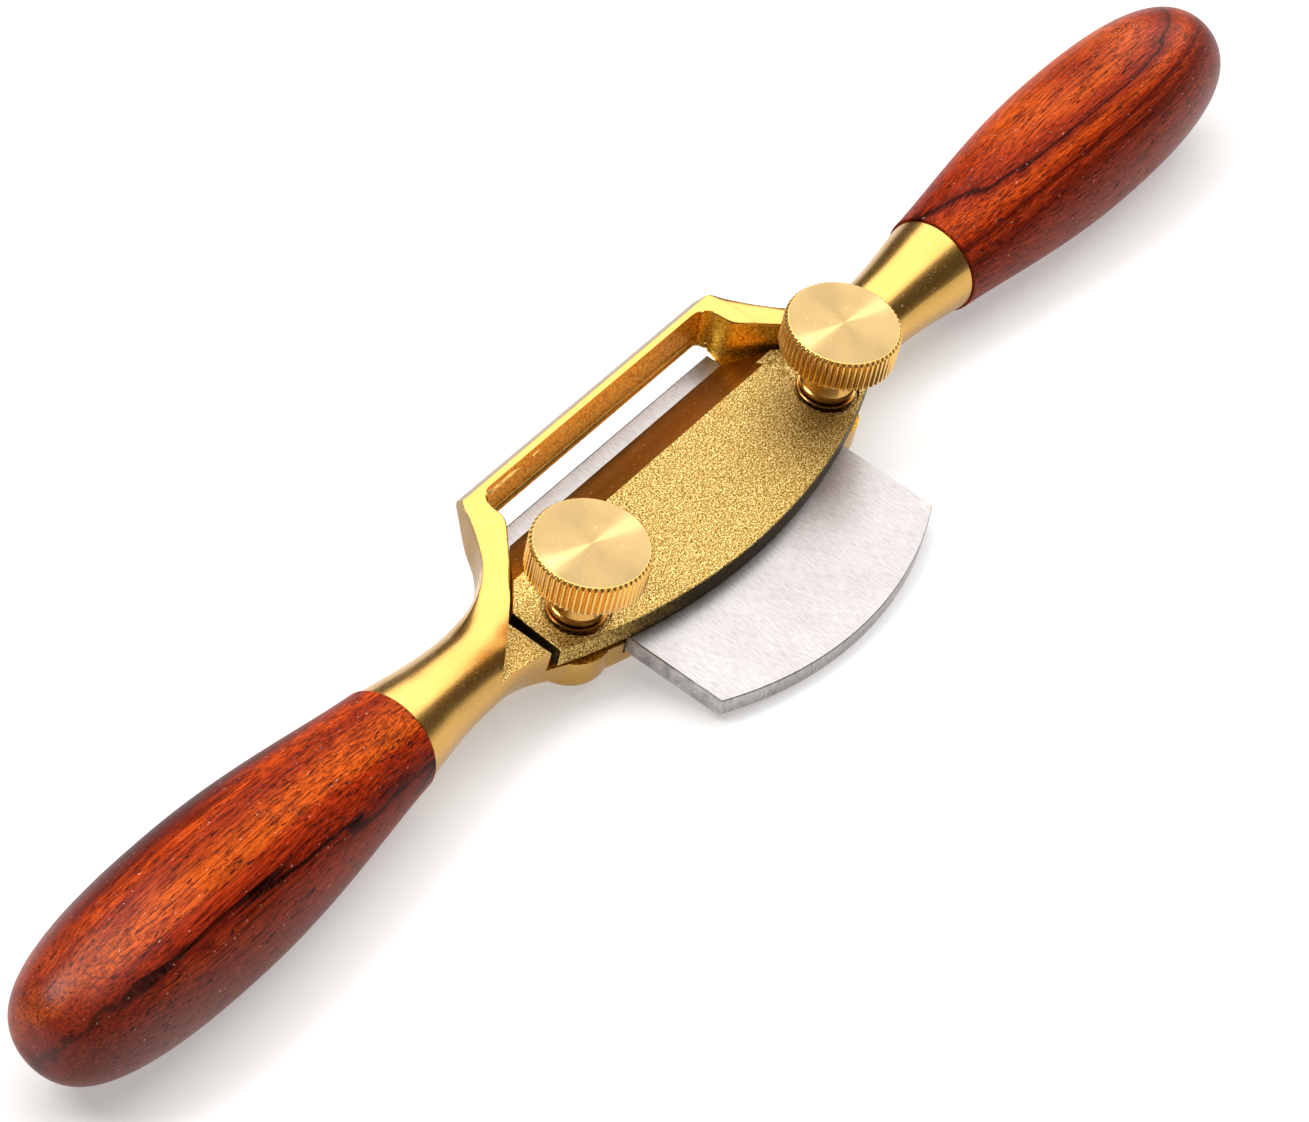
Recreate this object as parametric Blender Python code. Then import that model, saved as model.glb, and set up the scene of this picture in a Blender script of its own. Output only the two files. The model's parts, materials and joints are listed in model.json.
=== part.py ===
"""Flat-soled brass spokeshave with two turned wooden handles.

Everything is drawn in the blade's own frame, in millimetres: X runs along the
tool, Y points from the back of the blade to its cutting edge, and Z stands on
the blade's flat top face. The whole tool is then laid on the bench, where it
rests on both handles and on the back end of the blade.
"""
import math

import bmesh
import bpy
from mathutils import Vector

MM = 0.001
GAP = 0.3                      # clearance between neighbouring pieces

# Blade: flat steel, ground on its underside
BLADE_WIDTH = 54.0
BLADE_THICK = 3.2
EDGE_Y = 17.5                  # cutting edge
BLADE_BACK_Y = -31.5           # middle of the rounded back end
BLADE_BACK_RADIUS = 60.6
GRIND_ANGLE = math.radians(30)

# Casting; its sole is a plane at 45 degrees to the blade, where y - z = 17.4
TOE_TOP = (21.45, 8.05)        # front corner of the top band (y, z)
TOE_FRONT = (23.1, 5.7)        # front corner of the sole
TOE_INNER_Y = 20.05            # back of the toe at the top band
TOE_DRAFT = 0.124              # inner wall leans forward by this much per mm
CORNER_X = 30.0                # where the straight toe ends
BACK_ARC_Y = -12.1             # back wall of the casting and of the cap
BACK_ARC_RADIUS = 102.5
LAND_Z = 3.0                   # pads beside the cap
SEAT_Z = -1.1                  # ledges under the ends of the cap
BED_Z = -BLADE_THICK - GAP     # groove floor under the blade
RECESS_HALF = 39.8             # half width of the cap's recess

# Arms and handles
JOINT_X, JOINT_Y, JOINT_Z = 67.3, 3.63, 1.39
ARM_END_RADIUS = 7.96
HANDLE_AXIS = Vector((1.0, -0.018, 0.031)).normalized()
HANDLE_LENGTH = 74.4
HANDLE_END_RADIUS = 8.37
HANDLE_MAX_RADIUS = 12.22
HANDLE_BELLY = 0.55            # place of the thickest part, as a fraction
TANG_RADIUS = 3.0
TANG_IN_ARM = 14.0
TANG_IN_HANDLE = 45.0

# Cap
CAP_TOP = 3.9
CAP_BEVEL_BACK = 8.5           # back line of the front bevel, on the top face
CAP_NOSE_Y = 14.5              # front line of the bevel, on the blade
CAP_NOSE_HALF = 26.0
CAP_SHOULDER = (38.5, 4.9)     # corner between the oblique end and the side
CAP_SIDE_HALF = 39.0
CAP_NOSE_THICK = 0.2

# Screws
SCREW_X, SCREW_Y = 31.2, -1.14
SHANK_RADIUS = 2.5
SHANK_TIP_Z = -7.0
COLLAR_RADIUS = 4.2
HEAD_RADIUS = 9.0
HEAD_TOP_RADIUS = 8.23
HEAD_BOTTOM_Z, HEAD_TOP_Z = 12.4, 18.0
WASHER_RADIUS = 4.6
WASHER_THICK = 0.85
POCKET_RADIUS = 5.1            # counterbore round each washer
POCKET_DEPTH = 0.75
CHANNEL_HALF = 2.9             # milled run-out in front of the right pocket
BOSS_RADIUS, BOSS_BOTTOM_Z, BOSS_HEIGHT = 6.2, -7.3, 6.0

# Cutters start and stop this far out, clear of the solids that they cut
CLEAR_TOP_Z, CLEAR_BOTTOM_Z, CLEAR_BACK_Y = 14.0, -12.0, -40.0


# ---------------------------------------------------------------- helpers

def material(name, colour, roughness, metallic):
    mat = bpy.data.materials.new(name)
    mat.use_nodes = True
    shader = mat.node_tree.nodes["Principled BSDF"]
    shader.inputs["Base Color"].default_value = (*colour, 1.0)
    shader.inputs["Roughness"].default_value = roughness
    shader.inputs["Metallic"].default_value = metallic
    return mat


def add_object(name, bm, mat=None, origin=(0, 0, 0), axis=(0, 0, 1), smooth_angle=30):
    """Turn a bmesh in millimetres into an object whose own Z lies along axis."""
    bmesh.ops.scale(bm, vec=(MM, MM, MM), verts=bm.verts)
    bmesh.ops.recalc_face_normals(bm, faces=bm.faces)
    mesh = bpy.data.meshes.new(name)
    bm.to_mesh(mesh)
    bm.free()
    obj = bpy.data.objects.new(name, mesh)
    bpy.context.scene.collection.objects.link(obj)
    obj.parent = bench
    obj.location = Vector(origin) * MM
    obj.rotation_euler = Vector((0, 0, 1)).rotation_difference(Vector(axis)).to_euler()
    if mat:
        mesh.materials.append(mat)
        mesh.shade_smooth()
        mesh.set_sharp_from_angle(angle=math.radians(smooth_angle))
    return obj


def prism(outline, z_low, z_high, top_outline=None):
    """A solid between two level outlines with the same number of points."""
    bm = bmesh.new()
    low = [bm.verts.new((x, y, z_low)) for x, y in outline]
    high = [bm.verts.new((x, y, z_high)) for x, y in (top_outline or outline)]
    count = len(low)
    for i in range(count):
        j = (i + 1) % count
        bm.faces.new((low[i], low[j], high[j], high[i]))
    bm.faces.new(reversed(low))
    bm.faces.new(high)
    return bm


def lathe(profile, segments):
    """Turn a profile of (radius, height) points round the Z axis."""
    bm = bmesh.new()
    rings = []
    for radius, height in profile:
        if radius == 0:
            rings.append([bm.verts.new((0, 0, height))])
            continue
        rings.append([
            bm.verts.new((radius * math.cos(a), radius * math.sin(a), height))
            for a in (2 * math.pi * k / segments for k in range(segments))])
    loops = list(zip(rings, rings[1:]))
    if len(rings[0]) > 1:
        loops.append((rings[-1], rings[0]))
    for low, high in loops:
        for k in range(segments):
            n = (k + 1) % segments
            if len(low) == 1:
                bm.faces.new((low[0], high[n], high[k]))
            elif len(high) == 1:
                bm.faces.new((low[k], low[n], high[0]))
            else:
                bm.faces.new((low[k], low[n], high[n], high[k]))
    return bm


def rod(radius, length, segments=32):
    return lathe([(0, 0), (radius, 0), (radius, length), (0, length)], segments)


def cutter(name, bm, origin=(0, 0, 0), axis=(0, 0, 1)):
    tool = add_object(name, bm, origin=origin, axis=axis)
    tool.hide_render = True
    tool.display_type = "WIRE"
    return tool


def boolean(target, tool, operation="DIFFERENCE", solver="EXACT"):
    mod = target.modifiers.new(tool.name, "BOOLEAN")
    mod.object = tool
    mod.operation = operation
    mod.solver = solver


def track(points, x):
    """A smooth curve through (x, y, z) points: returns y and z at x."""
    if x <= points[0][0]:
        return points[0][1:]
    if x >= points[-1][0]:
        return points[-1][1:]
    last = len(points) - 1
    i = max(k for k in range(last) if points[k][0] <= x)
    before, a, b, after = (points[max(0, i - 1)], points[i], points[i + 1],
                           points[min(last, i + 2)])
    span = b[0] - a[0]
    t = (x - a[0]) / span
    result = []
    for c in (1, 2):
        slope_a = (b[c] - before[c]) / (b[0] - before[0]) if i else 0.0
        slope_b = (after[c] - a[c]) / (after[0] - a[0])
        result.append((2 * t**3 - 3 * t**2 + 1) * a[c] + (t**3 - 2 * t**2 + t) * span * slope_a
                      + (3 * t**2 - 2 * t**3) * b[c] + (t**3 - t**2) * span * slope_b)
    return tuple(result)


def ease(t):
    t = min(1.0, max(0.0, t))
    return t * t * (3 - 2 * t)


def arc_y(x, middle, radius):
    """A wide arc whose middle is its rearmost point."""
    return middle + radius - math.sqrt(radius * radius - x * x)


# ---------------------------------------------------------------- casting

# Corner lines of the casting from the middle of the tool to the round arm
TOE_EDGE = [(CORNER_X, *TOE_TOP), (31.5, 19.15, 7.85), (33.3, 16.5, 7.65),
            (35.0, 14.3, 7.5), (36.5, 12.7, 7.4), (39.0, 11.2, 7.25),
            (44.0, 9.9, 7.1), (50.0, 9.5, 6.9)]
CHEEK_FOOT = [(CORNER_X, *TOE_FRONT), (31.5, 20.6, 3.4), (33.0, 18.0, 2.4),
              (35.0, 14.6, 1.6), (38.0, 12.0, 1.0), (44.0, 10.3, 0.3), (50.0, 9.9, 0.0)]
SOLE_MIDDLE = [(CORNER_X, 15.0, -2.4), (32.0, 13.6, -3.6), (34.0, 12.2, -4.4),
               (37.0, 10.8, -4.8), (41.0, 9.6, -4.9), (50.0, 9.0, -4.5)]
HEEL_FRONT = [(28.0, 7.4, -10.0), (30.5, 7.2, -9.8), (33.0, 6.6, -8.8),
              (37.0, 6.0, -7.2), (41.0, 5.6, -6.5), (50.0, 5.5, -6.0)]
HEEL_BACK = [(28.0, 4.6, -9.6), (30.5, 4.4, -9.4), (33.0, 4.0, -8.4),
             (37.0, 3.4, -7.0), (41.0, 3.4, -6.5), (50.0, 3.5, -6.0)]
BED_BACK = [(28.0, 0.5, -5.9), (33.0, 0.4, -5.9), (38.0, 0.4, -5.6),
            (44.0, 0.8, -5.4), (50.0, 1.0, -5.2)]
WALL_FOOT_Z = [(28.0, 0.4, -5.6), (33.0, 0.6, -5.4), (38.0, 0.8, -4.4),
               (44.0, 0.4, -3.7), (50.0, 0.0, -3.4)]

# The same corners on the round arm, in degrees round its centre
ARM_ANGLES = [55, 15, -25, -70, -85, -110, -140, -215, -305]
EDGE_STEPS = [3, 4, 4, 2, 3, 3, 6, 9]
CORNER_LEAN = [0, 1, 1, 1, 1, 1, 0, 0, 0]    # how far each corner of the cheek sits inwards
ROUND_FROM_X, ROUND_TO_X = 35.0, 50.0        # the cheek turns into the round arm here
ARM_SAG_Y, ARM_SAG_Z, ARM_SPAN = 0.27, -1.2, 23.3

ARM_RADII = [(44.0, 6.4, 0), (49.0, 6.1, 0), (54.0, 6.25, 0), (59.0, 6.75, 0),
             (63.0, 7.36, 0), (JOINT_X, ARM_END_RADIUS, 0)]


def casting_corners(x):
    back = arc_y(x, BACK_ARC_Y, BACK_ARC_RADIUS)
    top = track(TOE_EDGE, x)
    foot = track(WALL_FOOT_Z, x)
    return [top, track(CHEEK_FOOT, x), track(SOLE_MIDDLE, x), track(HEEL_FRONT, x),
            track(HEEL_BACK, x), track(BED_BACK, x), (back + foot[0], foot[1]), (back, top[1])]


def casting_ring(x):
    """Points of the casting's outer skin round the section at x."""
    corners = casting_corners(min(x, ROUND_TO_X))
    roundness = ease((x - ROUND_FROM_X) / (ROUND_TO_X - ROUND_FROM_X))
    sag = ((JOINT_X - x) / ARM_SPAN) ** 2
    centre = (JOINT_Y + ARM_SAG_Y * sag, JOINT_Z + ARM_SAG_Z * sag)
    radius = track(ARM_RADII, x)[0]
    lean = 1.0 - ease((x - CORNER_X) / 4.0) if x > HEEL_FRONT[0][0] else 0.0
    square_to_handle = ease((x - ROUND_TO_X) / 15.0)
    ring = []
    for k, steps in enumerate(EDGE_STEPS):
        start, end = corners[k], corners[(k + 1) % len(corners)]
        for s in range(steps):
            f = s / steps
            angle = math.radians(ARM_ANGLES[k] + f * (ARM_ANGLES[k + 1] - ARM_ANGLES[k]))
            disc = (centre[0] + radius * math.cos(angle), centre[1] + radius * math.sin(angle))
            flat = [start[c] + f * (end[c] - start[c]) for c in (0, 1)]
            y, z = (flat[c] + roundness * (disc[c] - flat[c]) for c in (0, 1))
            inwards = lean * (CORNER_LEAN[k] + f * (CORNER_LEAN[k + 1] - CORNER_LEAN[k]))
            swing = (y - JOINT_Y) * HANDLE_AXIS.y + (z - JOINT_Z) * HANDLE_AXIS.z
            ring.append((x - inwards - square_to_handle * swing, y, z))
    return ring


def casting_skin():
    half = [0, 5, 10, 15, 20, 25, 28, CORNER_X, 30.7, 31.5, 32.4, 33.4, 34.5, 35.8, 37.2,
            39, 41, 43, 45, 47, 49, 51.5, 54, 57, 60, 63.5, JOINT_X]
    rings = [[(-x, y, z) for x, y, z in casting_ring(s)] for s in reversed(half[1:])]
    rings += [casting_ring(s) for s in half]
    bm = bmesh.new()
    loops = [[bm.verts.new(p) for p in ring] for ring in rings]
    count = len(loops[0])
    for a, b in zip(loops, loops[1:]):
        for i in range(count):
            j = (i + 1) % count
            bm.faces.new((a[i], a[j], b[j], b[i]))
    bm.faces.new(loops[0])
    bm.faces.new(loops[-1])
    bmesh.ops.triangulate(bm, faces=bm.faces)
    return bm


def recess_outline(z):
    """Inner outline of the toe loop and of the cap's recess at height z."""
    front = TOE_INNER_Y + TOE_DRAFT * (z - TOE_TOP[1])
    fillet = 3.0
    corner = [(27.8 - fillet * (1 - math.sin(a)), front - fillet * (1 - math.cos(a)))
              for a in (math.radians(d) for d in range(0, 91, 15))]
    right = corner + [(28.0, 15.7), (29.2, 13.9), (31.3, 11.9), (33.55, 9.84),
                      (RECESS_HALF, 4.8), (RECESS_HALF, -25.0)]
    return [(-x, y) for x, y in reversed(right)] + right


def handle_axis(side):
    return Vector((side * HANDLE_AXIS.x, HANDLE_AXIS.y, HANDLE_AXIS.z))


def joint_point(side):
    """Middle of the ring where the arm meets the handle."""
    return Vector((side * JOINT_X, JOINT_Y, JOINT_Z))


def build_casting():
    casting = add_object("body_casting", casting_skin(), brass)
    for side in (-1, 1):
        boss = cutter(f"boss_{side}", rod(BOSS_RADIUS, BOSS_HEIGHT, 40),
                      (side * SCREW_X, SCREW_Y, BOSS_BOTTOM_Z))
        boolean(casting, boss, "UNION", "MANIFOLD")
    recess = prism(recess_outline(SEAT_Z), SEAT_Z, CLEAR_TOP_Z, recess_outline(CLEAR_TOP_Z))
    boolean(casting, cutter("cap_recess", recess), solver="MANIFOLD")
    groove, front = BLADE_WIDTH / 2 + GAP, EDGE_Y + 1.5
    bed = prism([(-groove, CLEAR_BACK_Y), (groove, CLEAR_BACK_Y), (groove, front),
                 (-groove, front)], BED_Z, 1.0)
    boolean(casting, cutter("blade_groove", bed), solver="MANIFOLD")
    for side in (-1, 1):
        pad = [(side * x, y) for x, y in ((RECESS_HALF - 1.0, 5.6), (49.3, -1.84), (56.0, -6.6),
                                          (56.0, CLEAR_BACK_Y), (RECESS_HALF - 1.0, CLEAR_BACK_Y))]
        boolean(casting, cutter(f"pad_{side}", prism(pad, LAND_Z, CLEAR_TOP_Z)),
                solver="MANIFOLD")
        hole = cutter(f"screw_hole_{side}", rod(SHANK_RADIUS + GAP, 16.0),
                      (side * SCREW_X, SCREW_Y, CLEAR_BOTTOM_Z))
        boolean(casting, hole, solver="MANIFOLD")
        out, axis = 2.0, handle_axis(side)
        socket = cutter(f"tang_socket_{side}", rod(TANG_RADIUS + GAP, out + TANG_IN_ARM + 1.0),
                        joint_point(side) + out * axis, -axis)
        boolean(casting, socket, solver="MANIFOLD")
    return casting


# ---------------------------------------------------------------- blade and cap

def build_blade():
    half = BLADE_WIDTH / 2
    back = [(x, arc_y(x, BLADE_BACK_Y, BLADE_BACK_RADIUS))
            for x in (half * k / 12 for k in range(-12, 13))]
    grind = BLADE_THICK / math.tan(GRIND_ANGLE)
    top = back + [(half, EDGE_Y), (-half, EDGE_Y)]
    low = back + [(half, EDGE_Y - grind), (-half, EDGE_Y - grind)]
    return add_object("blade", prism(low, -BLADE_THICK, 0.0, top), steel)


def cap_outline():
    back = [(x, arc_y(x, BACK_ARC_Y, BACK_ARC_RADIUS))
            for x in (CAP_SIDE_HALF * k / 16 for k in range(-16, 17))]
    return back + [CAP_SHOULDER, (CAP_NOSE_HALF, CAP_NOSE_Y),
                   (-CAP_NOSE_HALF, CAP_NOSE_Y), (-CAP_SHOULDER[0], CAP_SHOULDER[1])]


def bevel_wedge():
    """What is planed off the cap's front edge, drawn from the side and pulled along X."""
    rise = CAP_TOP - GAP - CAP_NOSE_THICK
    slope = rise / (CAP_NOSE_Y - CAP_BEVEL_BACK)
    out = 6.0
    side_view = [(CAP_BEVEL_BACK - out, CAP_TOP + out * slope),
                 (CAP_NOSE_Y + out, CAP_TOP - rise - out * slope),
                 (CAP_NOSE_Y + out, CAP_TOP + out * slope)]
    bm = bmesh.new()
    left, right = ([bm.verts.new((x, y, z)) for y, z in side_view] for x in (-50.0, 50.0))
    bm.faces.new(left)
    bm.faces.new(reversed(right))
    for i in range(3):
        j = (i + 1) % 3
        bm.faces.new((left[i], right[i], right[j], left[j]))
    return bm


def build_cap():
    """The cap, with its origin on the line that it tilts about, by the right screw."""
    pocket_floor = CAP_TOP - POCKET_DEPTH
    pivot = Vector((SCREW_X, SCREW_Y, pocket_floor))
    slab = prism(cap_outline(), GAP, CAP_TOP)
    bmesh.ops.translate(slab, vec=-pivot, verts=slab.verts)
    cap = add_object("lever_cap", slab, cast_brass, pivot)
    boolean(cap, cutter("cap_bevel", bevel_wedge()))
    bore = SHANK_RADIUS + 2 * GAP
    for side in (-1, 1):
        stepped = lathe([(0, -CAP_TOP), (bore, -CAP_TOP), (bore, 0), (POCKET_RADIUS, 0),
                         (POCKET_RADIUS, CAP_TOP), (0, CAP_TOP)], 40)
        boolean(cap, cutter(f"screw_seat_{side}", stepped, (side * SCREW_X, SCREW_Y, pocket_floor)))
    left, right = SCREW_X - CHANNEL_HALF, SCREW_X + CHANNEL_HALF
    channel = prism([(left, SCREW_Y), (right, SCREW_Y), (right, 16.0), (left, 16.0)],
                    pocket_floor, CAP_TOP + 2.0)
    boolean(cap, cutter("pocket_runout", channel))
    return cap


# ---------------------------------------------------------------- screws

def build_screw(name, side):
    foot = CAP_TOP - POCKET_DEPTH + WASHER_THICK + 2 * GAP
    collar_top, neck = foot + 1.0, COLLAR_RADIUS - 0.35
    edge = HEAD_RADIUS - HEAD_TOP_RADIUS
    profile = [
        (0, SHANK_TIP_Z), (SHANK_RADIUS - 0.6, SHANK_TIP_Z), (SHANK_RADIUS, SHANK_TIP_Z + 0.6),
        (SHANK_RADIUS, foot), (COLLAR_RADIUS, foot), (COLLAR_RADIUS, collar_top - 0.2),
        (neck, collar_top), (neck, HEAD_BOTTOM_Z),
        (HEAD_RADIUS - 0.4, HEAD_BOTTOM_Z), (HEAD_RADIUS, HEAD_BOTTOM_Z + 0.4),
        (HEAD_RADIUS, HEAD_TOP_Z - 0.6 * edge), (HEAD_TOP_RADIUS, HEAD_TOP_Z), (0, HEAD_TOP_Z)]
    return add_object(name, lathe(profile, 48), brass, (side * SCREW_X, SCREW_Y, 0))


def build_washer(name, side):
    bore = SHANK_RADIUS + GAP
    profile = [(bore, 0), (WASHER_RADIUS, 0), (WASHER_RADIUS, WASHER_THICK),
               (bore, WASHER_THICK)]
    origin = (side * SCREW_X, SCREW_Y, CAP_TOP - POCKET_DEPTH + GAP)
    return add_object(name, lathe(profile, 40), brass, origin)


# ---------------------------------------------------------------- handles

def handle_radius(u):
    """Radius of the turned handle at the fraction u of its length."""
    if u <= HANDLE_BELLY:
        swell = math.sin(math.pi / 2 * u / HANDLE_BELLY) ** 1.2
        return HANDLE_END_RADIUS + (HANDLE_MAX_RADIUS - HANDLE_END_RADIUS) * swell
    t = (u - HANDLE_BELLY) / (1 - HANDLE_BELLY)
    return HANDLE_MAX_RADIUS * (1 - t**2.5) ** (1 / 3.3)


def build_handle(name, side):
    bore = TANG_RADIUS + GAP
    depth = TANG_IN_HANDLE + 1.0
    steps = 14
    body = [k / steps * HANDLE_BELLY for k in range(steps + 1)]
    nose = [HANDLE_BELLY + (1 - HANDLE_BELLY) * math.sin(math.pi / 2 * k / steps)
            for k in range(1, steps)]
    profile = [(0, depth), (bore, depth), (bore, 0)]
    profile += [(handle_radius(u), u * HANDLE_LENGTH) for u in body + nose] + [(0, HANDLE_LENGTH)]
    axis = handle_axis(side)
    return add_object(name, lathe(profile, 40), rosewood, joint_point(side) + GAP * axis, axis)


def build_tang(name, side):
    axis = handle_axis(side)
    start = joint_point(side) - TANG_IN_ARM * axis
    return add_object(name, rod(TANG_RADIUS, TANG_IN_ARM + TANG_IN_HANDLE, 24), steel, start, axis)


# ---------------------------------------------------------------- the tool on the bench

def lay_angle():
    """Tilt at which the blade's back end and the handles touch one plane."""
    along = HANDLE_BELLY * HANDLE_LENGTH
    y = JOINT_Y + HANDLE_AXIS.y * along - BLADE_BACK_Y
    z = JOINT_Z + HANDLE_AXIS.z * along + BLADE_THICK
    return math.asin(HANDLE_MAX_RADIUS / math.hypot(y, z)) - math.atan2(z, y)


def stand_on_bench():
    """Put the origin under the middle of the tool, at bench height."""
    bpy.context.view_layer.update()
    points = [obj.matrix_world @ v.co for obj in pieces for v in obj.data.vertices]
    low = [min(p[i] for p in points) for i in range(3)]
    high = [max(p[i] for p in points) for i in range(3)]
    bench.location = (0, -(low[1] + high[1]) / 2, -low[2])


for old in list(bpy.data.objects):
    bpy.data.objects.remove(old, do_unlink=True)

# The pose on the bench; every piece is its child
bench = bpy.data.objects.new("bench_pose", None)
bpy.context.scene.collection.objects.link(bench)
bench.rotation_euler = (lay_angle(), 0, 0)

brass = material("satin_brass", (0.72, 0.47, 0.17), 0.32, 1.0)
cast_brass = material("blasted_brass", (0.66, 0.45, 0.18), 0.6, 1.0)
steel = material("brushed_steel", (0.62, 0.61, 0.59), 0.3, 1.0)
rosewood = material("rosewood", (0.36, 0.07, 0.03), 0.35, 0.0)

pieces = [build_casting(), build_blade(), build_cap()]
for end, sign in (("left", -1), ("right", 1)):
    pieces.append(build_screw(f"thumbscrew_{end}", sign))
    pieces.append(build_washer(f"washer_{end}", sign))
    pieces.append(build_handle(f"handle_{end}", sign))
    pieces.append(build_tang(f"tang_{end}", sign))
stand_on_bench()
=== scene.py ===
"""A flat-soled brass spokeshave with turned rosewood handles, on a white table with a painted glow.

The pieces are drawn in the tool's own frame, in millimetres: X runs along the tool, Y
from the back of the blade to its cutting edge, and Z stands on the blade's top face.
"""
import json
import math

import bmesh
import bpy
from mathutils import Matrix, Vector


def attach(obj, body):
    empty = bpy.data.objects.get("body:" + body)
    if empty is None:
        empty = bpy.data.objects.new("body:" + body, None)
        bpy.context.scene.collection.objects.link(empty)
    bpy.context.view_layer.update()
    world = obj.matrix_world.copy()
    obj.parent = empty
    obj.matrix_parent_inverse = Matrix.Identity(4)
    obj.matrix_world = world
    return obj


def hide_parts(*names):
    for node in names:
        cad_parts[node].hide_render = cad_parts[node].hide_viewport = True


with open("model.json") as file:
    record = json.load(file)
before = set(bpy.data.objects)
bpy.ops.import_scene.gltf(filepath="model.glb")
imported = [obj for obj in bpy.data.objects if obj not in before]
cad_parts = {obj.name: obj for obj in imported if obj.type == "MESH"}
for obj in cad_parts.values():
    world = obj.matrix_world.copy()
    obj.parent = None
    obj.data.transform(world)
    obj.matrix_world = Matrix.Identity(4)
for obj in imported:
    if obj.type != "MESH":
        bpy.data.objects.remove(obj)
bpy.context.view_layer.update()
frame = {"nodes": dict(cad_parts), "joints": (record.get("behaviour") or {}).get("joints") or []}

# How the tool lies. It rests on both handles and on the back end of the blade, so the
# blade is tilted. The joint of the right thumbscrew says how much.
MM = 0.001
SCREW_X, SCREW_Y = 31.2, -1.14
joints = {joint["name"]: joint for joint in frame["joints"]}
screw_up = Vector(joints["right_screw_turn"]["axis"])
screw_foot = Vector(joints["right_screw_turn"]["pos_m"])
lay_angle = math.atan2(-screw_up.y, screw_up.z)
tool = (Matrix.Translation(screw_foot) @ Matrix.Rotation(lay_angle, 4, "X")
        @ Matrix.Translation(Vector((-SCREW_X, -SCREW_Y, 0)) * MM))

# The camera stands at the left end of the tool and behind it, well above the bench, and
# is tipped over so that the handles run from corner to corner.
EYE = Vector((-435.3, -211.8, 509.0))
AIM = Vector((-12.53, -2.11, 0))
ROLL = math.radians(14.3)
camera = bpy.data.objects.new("camera", bpy.data.cameras.new("camera"))
bpy.context.scene.collection.objects.link(camera)
bpy.context.scene.camera = camera
camera.data.lens = 130.95
camera.data.sensor_width = 36
camera.data.clip_start = 0.05
aimed = (AIM - EYE).to_track_quat("-Z", "Y").to_matrix().to_4x4()
camera.matrix_world = (tool @ Matrix.Translation(EYE * MM) @ aimed
                       @ Matrix.Rotation(ROLL, 4, "Z"))


# A white table with a painted glow and a painted pool of light, brightest under the tool and
# dimming away from it. This section also makes the two classes that every finish is mixed
# with: a socket that can stand in a sum, and a material whose one method adds any node.
class Wire:
    """A shader socket that can stand in a sum."""

    def __init__(self, socket):
        self.socket = socket

    def sum(self, operation, first, second=0.0):
        node = self.socket.id_data.nodes.new("ShaderNodeMath")
        node.operation = operation
        plug(node.inputs[0], first)
        plug(node.inputs[1], second)
        return Wire(node.outputs[0])

    def __add__(self, other):
        return self.sum("ADD", self, other)

    def __sub__(self, other):
        return self.sum("SUBTRACT", self, other)

    def __rsub__(self, other):
        return self.sum("SUBTRACT", other, self)

    def __mul__(self, other):
        return self.sum("MULTIPLY", self, other)

    def __truediv__(self, other):
        return self.sum("DIVIDE", self, other)

    def __pow__(self, other):
        return self.sum("POWER", self, other)

    __radd__ = __add__
    __rmul__ = __mul__


def plug(socket, value):
    """Links a wire to the socket, or sets a fixed value on it."""
    if isinstance(value, Wire):
        socket.id_data.links.new(value.socket, socket)
    else:
        socket.default_value = value


def socket_name(words):
    """The shader's own name for an input: base_color gives Base Color."""
    return words.replace("_", " ").title().replace("Ior", "IOR")


def grey(value):
    return (value, value, value)


class Finish:
    """A material, its shader's fixed values, and the method that adds nodes to it."""

    def __init__(self, name, **fixed):
        self.material = bpy.data.materials.new(name)
        self.material.use_nodes = True
        self.tree = self.material.node_tree
        self.shader = self.tree.nodes["Principled BSDF"]
        for words, value in fixed.items():
            self.shader.inputs[socket_name(words)].default_value = value

    def node(self, kind, settings, sockets, output=0):
        node = self.tree.nodes.new(kind)
        for name, value in settings.items():
            if name == "stops":
                ramp = node.color_ramp
                while len(ramp.elements) < len(value):
                    ramp.elements.new(1.0)
                for element, (position, colour) in zip(ramp.elements, value):
                    element.position = position
                    element.color = (*colour, 1.0)
            else:
                setattr(node, name, value)
        for key, value in sockets.items():
            plug(node.inputs[key], value)
        return Wire(node.outputs[output])

    def place(self, stretch=(1, 1, 1)):
        """The point in millimetres in the piece's own frame, stretched along its axes."""
        point = self.node("ShaderNodeTexCoord", {}, {}, "Object")
        scale = tuple(s / MM for s in stretch)
        return self.node("ShaderNodeVectorMath", {"operation": "MULTIPLY"}, {0: point, 1: scale})

    def noise(self, point, scale, detail=2.0, roughness=0.5):
        return self.node("ShaderNodeTexNoise", {}, {
            "Vector": point, "Scale": scale, "Detail": detail, "Roughness": roughness})

    def ramp(self, value, *stops):
        return self.node("ShaderNodeValToRGB", {"stops": stops}, {"Fac": value})

    def span(self, value, low, high, to_low=0.0, to_high=1.0):
        """value carried from low..high to to_low..to_high and held there."""
        return self.node("ShaderNodeMapRange", {"clamp": True}, {
            "Value": value, "From Min": low, "From Max": high,
            "To Min": to_low, "To Max": to_high})

    def mix(self, mask, first, second, blend="MIX"):
        return self.node("ShaderNodeMix", {"data_type": "RGBA", "blend_type": blend}, {
            "Factor": mask, 6: first, 7: second}, 2)

    def bump(self, height, depth_mm, strength=1.0, normal=None):
        sockets = {"Height": height, "Distance": depth_mm * MM, "Strength": strength}
        if normal:
            sockets["Normal"] = normal
        return self.node("ShaderNodeBump", {}, sockets)

    def finish(self, **links):
        """Connects what varies over the surface to the shader."""
        for words, value in links.items():
            plug(self.shader.inputs[socket_name(words)], value)
        return self.material


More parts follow.
